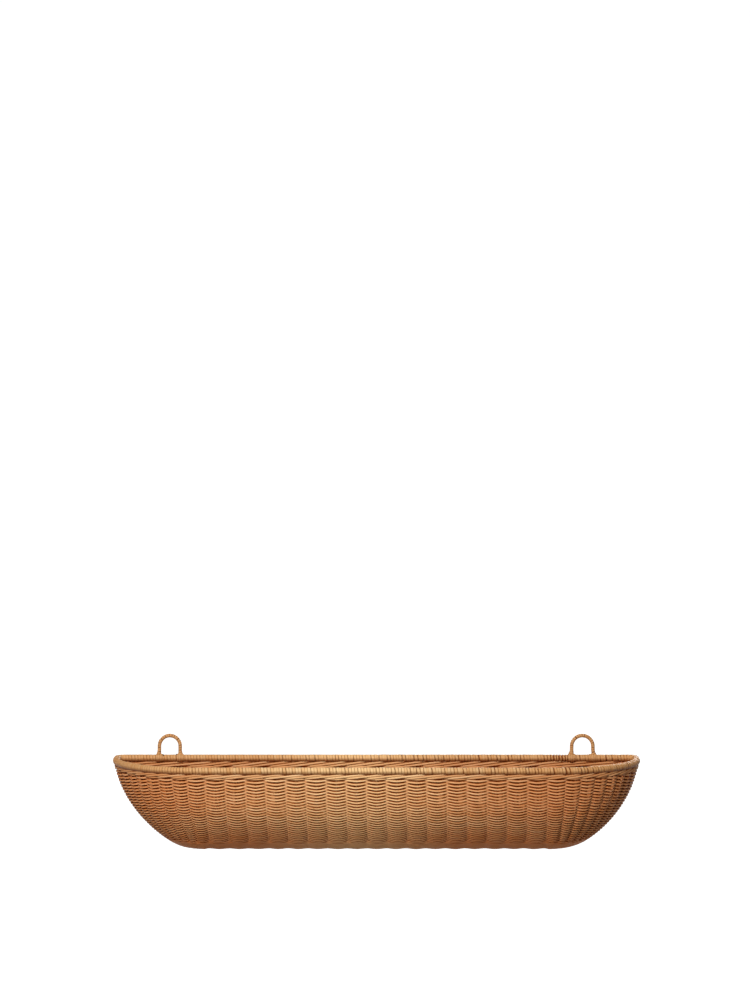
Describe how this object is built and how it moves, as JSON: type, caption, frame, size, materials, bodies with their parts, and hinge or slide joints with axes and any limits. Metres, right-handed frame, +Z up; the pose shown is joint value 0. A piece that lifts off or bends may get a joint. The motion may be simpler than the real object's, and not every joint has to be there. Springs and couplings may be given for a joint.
{
  "type": "wall basket",
  "caption": "Long half-round wicker wall basket with a flat back, rounded ends, a wrapped rim and fixed hanging loops.",
  "frame": {"origin": "middle of the bounding box at the underside of the base", "axes": "+X along the basket to its right-hand end as seen from the front, +Y towards the wall, +Z up"},
  "size_m": [0.8, 0.18, 0.1633],
  "materials": {
    "cane": "smoked brown round cane, dull",
    "woven_cane": "fine woven cane, warm brown, satin",
    "cane_peel": "flat honey-brown cane peel, slightly glossy",
    "tack_steel": "small dark nail heads"
  },
  "bodies": {
    "root": {"front_weave": "woven_cane", "back_weave": "woven_cane", "base_weave": "woven_cane", "wale_band": "woven_cane", "rim_core": "cane", "rim_wrap": "cane_peel", "back_stake_1": "cane", "back_stake_2": "cane", "back_stake_3": "cane", "back_stake_4": "cane", "cross_stake_01": "cane", "cross_stake_02": "cane", "cross_stake_03": "cane", "cross_stake_04": "cane", "cross_stake_05": "cane", "cross_stake_06": "cane", "cross_stake_07": "cane", "cross_stake_08": "cane", "cross_stake_09": "cane", "cross_stake_10": "cane", "cross_stake_11": "cane", "cross_stake_12": "cane", "cross_stake_13": "cane", "cross_stake_14": "cane", "cross_stake_15": "cane", "cross_stake_16": "cane", "cross_stake_17": "cane", "cross_stake_18": "cane", "cross_stake_19": "cane", "left_end_stake_01": "cane", "left_end_stake_02": "cane", "left_end_stake_03": "cane", "left_end_stake_04": "cane", "left_end_stake_05": "cane", "left_end_stake_06": "cane", "left_end_stake_07": "cane", "left_end_stake_08": "cane", "left_end_stake_09": "cane", "left_end_stake_10": "cane", "right_end_stake_01": "cane", "right_end_stake_02": "cane", "right_end_stake_03": "cane", "right_end_stake_04": "cane", "right_end_stake_05": "cane", "right_end_stake_06": "cane", "right_end_stake_07": "cane", "right_end_stake_08": "cane", "right_end_stake_09": "cane", "right_end_stake_10": "cane", "left_loop_core": "cane", "left_loop_wrap": "cane_peel", "left_loop_outer_lashing": "cane_peel", "left_loop_inner_lashing": "cane_peel", "left_loop_outer_tack": "tack_steel", "left_loop_inner_tack": "tack_steel", "right_loop_core": "cane", "right_loop_wrap": "cane_peel", "right_loop_outer_lashing": "cane_peel", "right_loop_inner_lashing": "cane_peel"}
  },
  "joints": []
}
